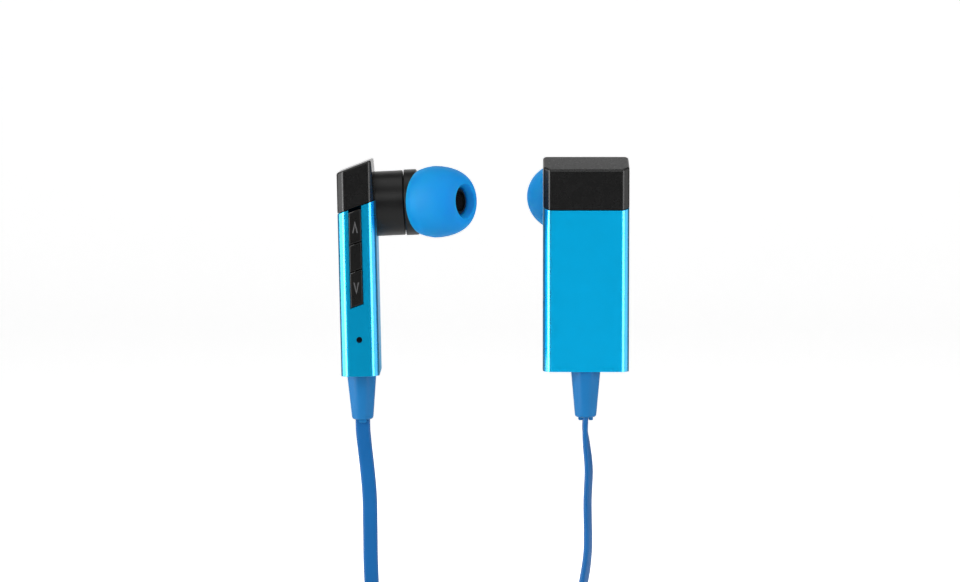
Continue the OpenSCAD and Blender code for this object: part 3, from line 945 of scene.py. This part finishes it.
class MakeCable(bpy.types.Operator):
    """Build the flat cable with its wound middle, and the tie that holds it"""

    bl_idname = "earphones.cable"
    bl_label = "Cable"

    def execute(self, context):
        whole, wide = context.scene.earphone_cable.whole, context.scene.earphone_cable.wide
        cable, casing = sizes("cable", "casing")
        exits = {}
        for side in SIDES:
            place = earpiece(side, casing)
            exits[side] = [place @ Vector((0, 0, -cable.relief_l - along)) for along in (-0.6, 0.0, 2.0)]
        starts = [(*p, 0) for p in exits["right"]]
        ends = [(*p, 90) for p in exits["left"][:2]]
        route = starts + RIGHT_ROUTE + hank_turns(cable) + LEFT_ROUTE[::-1] + ends[::-1]
        path = smooth_route(route, 0.0009)
        bm = ribbon(path, wide, cable.thick * MM)
        tie = self.add_tie()
        cord = settle(
            "flat_cable", bm, Matrix.Identity(4), ROOT, ["cable blue"],
            ["right_cable_run", "left_cable_run", "cable_hank"],
        )
        return {"FINISHED"}

    def add_tie(self):
        """A hook-and-loop band round the hank, with its free end lapped over."""
        low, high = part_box("hank_tie")
        middle = (low + high) / 2
        band_t, wall, corner = 0.55 * MM, 0.75 * MM, 0.7 * MM
        inner_x = (high.x - low.x) / 2 - wall
        inner_y = (high.y - low.y) / 2 - wall
        loop = rounded(
            [(x * inner_x, y * inner_y, corner) for x, y in ((1, -1), (1, 1), (-1, 1), (-1, -1))],
            steps=5, closed=True,
        )
        # Along the front: the band's start, and how its free end rises over it
        start = (inner_x * 0.2, -inner_y)
        rise = ((0.1, 0.6), (-0.55, 1.05), (-0.9, 1.1))
        lap = [(inner_x * along, -inner_y - band_t * out) for along, out in rise]
        bm = bmesh.new()
        verts = [bm.verts.new((middle.x + x, middle.y + y, low.z)) for x, y in (start, *loop, *lap)]
        edges = [bm.edges.new(pair) for pair in zip(verts, verts[1:])]
        grown = bmesh.ops.extrude_edge_only(bm, edges=edges)["geom"]
        upper = [v for v in grown if isinstance(v, bmesh.types.BMVert)]
        bmesh.ops.translate(bm, verts=upper, vec=(0, 0, high.z - low.z))
        bmesh.ops.recalc_face_normals(bm, faces=bm.faces)
        bmesh.ops.solidify(bm, geom=bm.faces[:], thickness=-band_t)
        bmesh.ops.recalc_face_normals(bm, faces=bm.faces)
        return settle(
            "hank_band", bm, Matrix.Identity(4), ROOT, ["woven band"], ["hank_tie"]
        )


# Casing


# Gap round the speaker housing where it enters the casing, in millimetres
HOUSING_FIT = 0.05


def casing_solid(casing, inset, low, high):
    """A length of the casing's outer or inner shape."""
    return prism(outline(casing, inset), low, high)


def sloping_plane(casing, height, slope):
    """A point and the upward normal of the plane with that height at the outer face and that slope."""
    return (-casing.thick / 2, 0, height), (-math.sin(slope), 0, math.cos(slope))


def seam_z(casing, x):
    """Height of the seam at a distance from the casing's middle."""
    return casing.sleeve_h + (x + casing.thick / 2) * math.tan(casing.slope)


def sloped_bar(casing, key, half_w, top, bottom, front, back):
    """A bar across the front edge whose ends follow the seam's slope."""
    ceiling = seam_z(casing, -key.shift) - key.drop
    rise = half_w * math.tan(casing.slope)
    corners = [(-half_w, ceiling - bottom - rise), (half_w, ceiling - bottom + rise)]
    corners += [(half_w, ceiling - top + rise), (-half_w, ceiling - top - rise)]
    bm = prism(corners, 0, front - back)
    stand = Matrix.Translation((-key.shift, -back, 0)) @ Matrix.Rotation(math.pi / 2, 4, "X")
    return moved(bm, stand)


def mark_finishes(bm):
    """Gives the upright chamfers the second finish, and the narrow edges the third: the metal darkened as
    painted shade.
    """
    for face in bm.faces:
        across, along = abs(face.normal.x), abs(face.normal.y)
        if min(across, along) > 0.2:
            face.material_index = 1
        elif along > 0.9:
            face.material_index = 2


class MakeSleeves(bpy.types.Operator):
    """Build the two metal sleeves"""

    bl_idname = "earphones.sleeves"
    bl_label = "Sleeves"

    def execute(self, context):
        casing, speaker, key = sizes("casing", "speaker", "key")
        tilt, _ = speaker_angles()
        seam = sloping_plane(casing, casing.sleeve_h - casing.seam_gap, casing.slope)
        front = -casing.wide / 2
        for side in SIDES:
            bm = slice_off(casing_solid(casing, 0, 0, 40), *seam)
            soften(bm, casing.corner_round, 4, upright)
            soften(bm, casing.edge, 2, lambda e: sharp(e) and not upright(e))
            hollow = casing_solid(casing, casing.sleeve_wall, -1, 50)
            openings = (self.key_openings if side == "right" else self.socket_opening)(casing, key)
            housing = rod(speaker.housing_d / 2 + HOUSING_FIT, -2, 4, 96)
            bm = less(bm, hollow, *openings, moved(housing, speaker_axes(casing, speaker, tilt)))
            soften(bm, 0.07, 2, lambda e: sharp(e) and all(abs(v.co.y - front) < 0.01 for v in e.verts))
            # Chamfers get the polished finish; narrow edges get the metal darkened as painted shade
            mark_finishes(bm)
            flatten(settle(
                side + "_metal_sleeve", bm, earpiece(side, casing), ROOT,
                ["anodised blue", "polished chamfer", "anodised edge"], [side + "_sleeve"],
            ))
        return {"FINISHED"}

    def key_openings(self, casing, key):
        """Cutters for the key strip's slot and the microphone's hole."""
        front = casing.wide / 2
        strip_l = key.up_l + key.call_l + key.down_l
        slot = sloped_bar(casing, key, key.wide / 2 + key.gap, -1, strip_l + key.gap, front + 1, front - 2)
        hole = moved(rod(key.mic_d / 2, 0, 3, 32), Matrix.Rotation(math.pi / 2, 4, "X"))
        return [slot, moved(hole, Matrix.Translation((0, 2 - front, key.mic_h)))]

    def socket_opening(self, casing, key):
        """The cutter for the charging socket's opening."""
        half_w, half_h, front = key.port_w / 2, key.port_h / 2, casing.wide / 2
        return [block(
            (-key.port_x - half_w, -front - 1, key.port_z - half_h),
            (-key.port_x + half_w, -front + 2, key.port_z + half_h),
        )]


class MakeCaps(bpy.types.Operator):
    """Build the two plastic caps"""

    bl_idname = "earphones.caps"
    bl_label = "Caps"

    def execute(self, context):
        casing, speaker = sizes("casing", "speaker")
        tilt, _ = speaker_angles()
        high = casing.sleeve_h + casing.cap_h
        point, normal = (Vector(v) for v in sloping_plane(casing, high, casing.cap_slope))
        for side in SIDES:
            bm = self.cap_solid(casing, 0, casing.sleeve_h + casing.seam_gap, high)
            soften(bm, casing.rim, 4, lambda e: upright(e) or all(
                abs((v.co - point).dot(normal)) < 1e-3 for v in e.verts
            ))
            hollow = self.cap_solid(casing, casing.cap_wall, casing.sleeve_h - 1, high - casing.cap_wall)
            housing = rod(speaker.housing_d / 2 + HOUSING_FIT, -3, 6, 96)
            bm = less(bm, hollow, moved(housing, speaker_axes(casing, speaker, tilt)))
            flatten(settle(
                side + "_plastic_cap", bm, earpiece(side, casing), ROOT, ["cap black"],
                [side + "_cap"],
            ))
        return {"FINISHED"}

    def cap_solid(self, casing, inset, low, high):
        """The cap's shape between two sloping planes, with its inner face leaning back."""
        bm = casing_solid(casing, inset, 20, 50)
        slice_off(bm, *sloping_plane(casing, high, casing.cap_slope))
        point, normal = sloping_plane(casing, low, casing.slope)
        slice_off(bm, point, [-n for n in normal])
        lean = (math.cos(casing.cap_lean), 0, math.sin(casing.cap_lean))
        return slice_off(bm, (casing.thick / 2 - inset, 0, casing.sleeve_h), lean)


# Speakers


class MakeSpeakers(bpy.types.Operator):
    """Build the speaker housings, the turned nozzles and the meshes in them"""

    bl_idname = "earphones.speakers"
    bl_label = "Speakers"

    def execute(self, context):
        casing, speaker = sizes("casing", "speaker")
        tilt, turn = speaker_angles()
        on_speaker = speaker_axes(casing, speaker, tilt)
        on_nozzle = nozzle_axes(casing, speaker, tilt, turn)
        for side in SIDES:
            place = earpiece(side, casing)
            settle(
                side + "_housing", moved(self.housing(speaker), on_speaker), place, ROOT,
                ["housing black"], [side + "_speaker_housing"],
            )
            settle(
                side + "_turned_nozzle", moved(self.nozzle(speaker, turn), on_speaker), place, ROOT,
                ["housing black"], [side + "_nozzle"],
            )
            settle(
                side + "_wire_mesh", moved(self.wire_mesh(speaker), on_nozzle), place, ROOT,
                ["mesh steel"], [side + "_nozzle_mesh"],
            )
        return {"FINISHED"}

    def housing(self, speaker):
        """The cup that holds the driver."""
        r, inner = speaker.housing_d / 2, speaker.housing_d / 2 - speaker.wall
        front, back = speaker.housing_l - speaker.groove, -speaker.back
        return lathe(rounded([
            (0, back, 0), (r, back, 0.2), (r, front, 0.18), (inner, front, 0.05),
            (inner, back + speaker.wall, 0.2), (0, back + speaker.wall, 0),
        ]))

    def nozzle(self, speaker, turn):
        """The front ring, its cone and the turned nozzle with its barb."""
        ring_r, front = speaker.ring_d / 2, speaker.housing_l + speaker.ring_l
        spigot_r = speaker.housing_d / 2 - speaker.wall - 0.05
        seat = speaker.housing_l
        ring = lathe(rounded([
            (0, seat - 1.2, 0), (spigot_r, seat - 1.2, 0.1), (spigot_r, seat, 0), (ring_r, seat, 0.18),
            (ring_r, front, 0.3), (ring_r - 0.35, front + 0.15, 0.2), (3.6, front + speaker.cone_l, 0.4),
            (0, front + speaker.cone_l, 0),
        ]))
        boss, shaft, barb = speaker.boss_d / 2, speaker.shaft_d / 2, speaker.barb_d / 2
        mouth = speaker.nozzle_l
        tube = lathe(rounded([
            (0, 0, 0), (boss, 0, 0), (boss, speaker.boss_l, 0.25), (shaft, speaker.boss_l, 0.25),
            (shaft, mouth - 2.4, 0.2), (barb, mouth - 1.8, 0.15), (barb, mouth - 0.9, 0.3),
            (shaft, mouth, 0.2), (0, mouth, 0),
        ]))
        turned = Matrix.Translation((0, 0, speaker.turn_at)) @ Matrix.Rotation(turn, 4, "X")
        hollow = lathe(rounded([
            (0, seat - 3, 0), (4.4, seat - 3, 0), (4.4, front - 0.4, 0.3),
            (2.0, front + speaker.cone_l - 1, 0.2), (0, front + speaker.cone_l - 1, 0),
        ]))
        bore = moved(rod(speaker.bore / 2, 1, mouth + 3), turned)
        return less(plus(ring, moved(tube, turned)), hollow, bore)

    def wire_mesh(self, speaker):
        """Crossed wires in a rim, just inside the nozzle's mouth."""
        radius, half = speaker.bore / 2 - 0.02, speaker.wire_d / 2
        level = speaker.nozzle_l - 0.45
        rim = lathe(rounded([
            (radius - 0.2, level - 0.15, 0.04), (radius, level - 0.15, 0.04), (radius, level + 0.15, 0.04),
            (radius - 0.2, level + 0.15, 0.04),
        ], steps=2, closed=True), steps=48, closed=True)
        parts = [rim]
        count = int(radius / speaker.wire_pitch)
        for way in (0, 1):
            for k in range(-count, count + 1):
                offset = k * speaker.wire_pitch
                reach = math.sqrt(max(0.01, (radius - 0.1) ** 2 - offset ** 2))
                wire = moved(rod(half, -reach, reach, 8), Matrix.Rotation(math.pi / 2, 4, "XY"[way]))
                x, y = (0, offset) if way else (offset, 0)
                lift = half * (0.9 if way else -0.9)
                parts.append(moved(wire, Matrix.Translation((x, y, level + lift))))
        return together(*parts)


class MakeEarTips(bpy.types.Operator):
    """Build the two soft ear tips"""

    bl_idname = "earphones.ear_tips"
    bl_label = "Ear tips"

    def execute(self, context):
        casing, speaker, tip = sizes("casing", "speaker", "tip")
        tilt, turn = speaker_angles()
        for side in SIDES:
            bm = lathe(self.profile(tip), steps=128, closed=True)
            moved(bm, nozzle_axes(casing, speaker, tilt, turn))
            settle(
                side + "_silicone_tip", bm, earpiece(side, casing), side + "_tip",
                ["silicone blue"], [side + "_ear_tip"], sharp_at=60,
            )
        return {"FINISHED"}

    def profile(self, tip):
        """The tip's section: a thin domed skirt on a stem, with a rounded lip at the mouth."""
        wide, stem, steps = tip.wide / 2, tip.stem_d / 2, 20

        def dome(radius, top_radius, top):
            points = []
            for k in range(steps + 1):
                a = math.pi / 2 * k / steps
                out = top_radius + (radius - top_radius) * math.cos(a)
                points.append((out, tip.widest + (top - tip.widest) * math.sin(a), 0))
            return points

        edge_r = wide - tip.edge_in
        corners = [(edge_r, tip.edge, 0.15), (wide - 0.2, tip.edge + 1.1, 1.0)]
        corners += dome(wide, tip.rim_r, tip.mouth - 0.12)
        corners += [(tip.lip_r + 0.1, tip.mouth, 0.15), (tip.stem_bore / 2, tip.mouth - 1.3, 0.3)]
        corners += [(tip.stem_bore / 2, tip.stem_start, 0.15), (stem, tip.stem_start, 0.15)]
        corners += dome(wide - tip.wall, stem + 0.4, 10.6)[::-1]
        corners += [(edge_r - tip.wall, tip.edge, 0.15)]
        return rounded(corners, closed=True)


# Keys


class MakeKeys(bpy.types.Operator):
    """Build the three keys with their marks"""

    bl_idname = "earphones.keys"
    bl_label = "Keys"

    def execute(self, context):
        casing, key = sizes("casing", "key")
        front = casing.wide / 2 + key.proud
        wall = casing.wide / 2 - casing.sleeve_wall
        behind = wall - 0.08
        start = 0.0
        # Each key's length, and whether its mark points up, down or is left out
        rows = {"volume_up": (key.up_l, 1), "call": (key.call_l, 0), "volume_down": (key.down_l, -1)}
        for name, (long, mark) in rows.items():
            top, bottom = start + key.gap / 2, start + long - key.gap / 2
            start += long
            bar = sloped_bar(casing, key, key.wide / 2, top, bottom, front, wall - 0.2)
            soften(bar, 0.24, 4, lambda e: all(abs(v.co.y + front) < 1e-3 for v in e.verts))
            flange_ends = (top + 0.1, bottom - 0.1)
            flange = sloped_bar(casing, key, key.flange_w / 2, *flange_ends, behind, behind - key.flange_t)
            bm = plus(bar, flange)
            if mark:
                middle = seam_z(casing, -key.shift) - key.drop - (top + bottom) / 2
                bm = together(bm, self.chevron(key, mark, front, middle))
            for face in bm.faces:
                if face.calc_center_median().y < -front - 1e-3:
                    face.material_index = 1
            flatten(settle(
                name + "_press_key", bm, earpiece("right", casing), name,
                ["key black", "key mark"], [name + "_key"],
            ))
        return {"FINISHED"}

    def chevron(self, key, mark, front, middle):
        """A raised chevron that points up or down."""
        half_w, half_h, line = key.mark_w / 2, key.mark_h / 2, key.mark_line
        outer = [(-half_w, -half_h), (0, half_h), (half_w, -half_h)]
        inner = [(half_w - line * 1.1, -half_h), (0, half_h - line * 2.8), (-half_w + line * 1.1, -half_h)]
        points = [(x, y * mark) for x, y in outer + inner]
        bm = prism(points if mark < 0 else points[::-1], 0, 0.1)
        bmesh.ops.recalc_face_normals(bm, faces=bm.faces)
        moved(bm, Matrix.Rotation(math.pi / 2, 4, "X"))
        return moved(bm, Matrix.Translation((-key.shift, -front + 0.06, middle)))


# Strain reliefs


class MakeStrainReliefs(bpy.types.Operator):
    """Build the two tapered strain reliefs"""

    bl_idname = "earphones.strain_reliefs"
    bl_label = "Strain reliefs"

    def execute(self, context):
        casing, cable = sizes("casing", "cable")
        for side in SIDES:
            taper = self.taper(cable.relief_end_d / 2, cable.relief_top_d / 2, -cable.relief_l, -0.05)
            neck = lathe(rounded([
                (0, -0.3, 0), (2.55, -0.3, 0), (2.55, 0.4, 0), (1.6, 0.4, 0), (1.6, 3.7, 0.1), (0, 3.7, 0),
            ]))
            bm = plus(taper, neck, *self.tabs(cable))
            settle(
                side + "_tapered_relief", bm, earpiece(side, casing), ROOT,
                ["relief blue"], [side + "_strain_relief"], sharp_at=35,
            )
        return {"FINISHED"}

    def taper(self, end_r, top_r, low, high):
        """An eight-sided taper with rounded edges and a rounded lower rim."""
        bm = bmesh.new()
        bmesh.ops.create_cone(
            bm, cap_ends=True, segments=8, radius1=end_r, radius2=top_r, depth=high - low
        )
        turned = Matrix.Rotation(math.pi / 8, 4, "Z")
        flat_to_flat = Matrix.Diagonal((1.08, 1.08, 1, 1))
        moved(bm, Matrix.Translation((0, 0, (low + high) / 2)) @ turned @ flat_to_flat)
        soften(bm, 0.55, 5, lambda e: abs(e.verts[0].co.z - e.verts[1].co.z) > 1)
        return soften(bm, 0.5, 5, lambda e: all(abs(v.co.z - low) < 1e-3 for v in e.verts))

    def tabs(self, cable):
        """Two small rounded tabs beside the cable, below the taper."""
        floor = -cable.relief_l - cable.tab_l
        pair = []
        for way in (-1, 1):
            near = cable.thick / 2 + 0.05
            y_low, y_high = sorted((way * near, way * (near + cable.tab_t)))
            tab = block((-cable.tab_w / 2, y_low, floor), (cable.tab_w / 2, y_high, 0.5 - cable.relief_l))
            pair.append(soften(tab, 0.28, 4, lambda e: all(abs(v.co.z - floor) < 1e-3 for v in e.verts)))
        return pair


# Pieces whose CAD shape stays


KEPT = {
    "plug black": ["right_end_plug", "left_end_plug"],
    "carrier grey": ["right_carrier", "left_carrier"],
    "basket grey": ["right_driver_basket", "left_driver_basket"],
    "magnet nickel": ["right_driver_magnet", "left_driver_magnet"],
    "diaphragm film": ["right_diaphragm", "left_diaphragm"],
    "solder mask": ["main_board", "charging_board"],
    "switch steel": ["tact_switches"],
    "microphone boot": ["microphone"],
    "antenna bronze": ["antenna"],
    "battery foil": ["battery"],
    "socket steel": ["charging_port"],
}


class FinishInnerParts(bpy.types.Operator):
    """Give the CAD pieces that stay their own finishes"""

    bl_idname = "earphones.inner_parts"
    bl_label = "Inner parts"

    def execute(self, context):
        for finish_name, names in KEPT.items():
            for name in names:
                for slot in frame["nodes"][name].material_slots:
                    slot.material = bpy.data.materials[finish_name]
        return {"FINISHED"}


OPERATORS = (
    MakeFinishes, MakeStage, MakeCable, MakeSleeves, MakeCaps, MakeSpeakers, MakeEarTips, MakeKeys,
    MakeStrainReliefs, FinishInnerParts,
)


class EarphonesPanel(bpy.types.Panel):
    """Sizes, colours and steps of the earphones"""

    bl_idname = "VIEW3D_PT_earphones"
    bl_label = "Earphones"
    bl_space_type = "VIEW_3D"
    bl_region_type = "UI"
    bl_category = "Earphones"

    def draw(self, context):
        for name, group in GROUPS.items():
            box = self.layout.box()
            box.label(text=name.capitalize())
            for value in group.__annotations__:
                box.prop(getattr(context.scene, "earphone_" + name), value)
        for operator in OPERATORS:
            self.layout.operator(operator.bl_idname)


CLASSES = (*GROUPS.values(), *OPERATORS, EarphonesPanel)


def register():
    for item in CLASSES:
        bpy.utils.register_class(item)
    for name, group in GROUPS.items():
        setattr(bpy.types.Scene, "earphone_" + name, PointerProperty(type=group))


def unregister():
    for name in GROUPS:
        delattr(bpy.types.Scene, "earphone_" + name)
    for item in reversed(CLASSES):
        bpy.utils.unregister_class(item)


def main():
    """Builds everything in order."""
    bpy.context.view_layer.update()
    register()
    for operator in OPERATORS:
        family, name = operator.bl_idname.split(".")
        getattr(getattr(bpy.ops, family), name)()


if __name__ == "__main__":
    main()
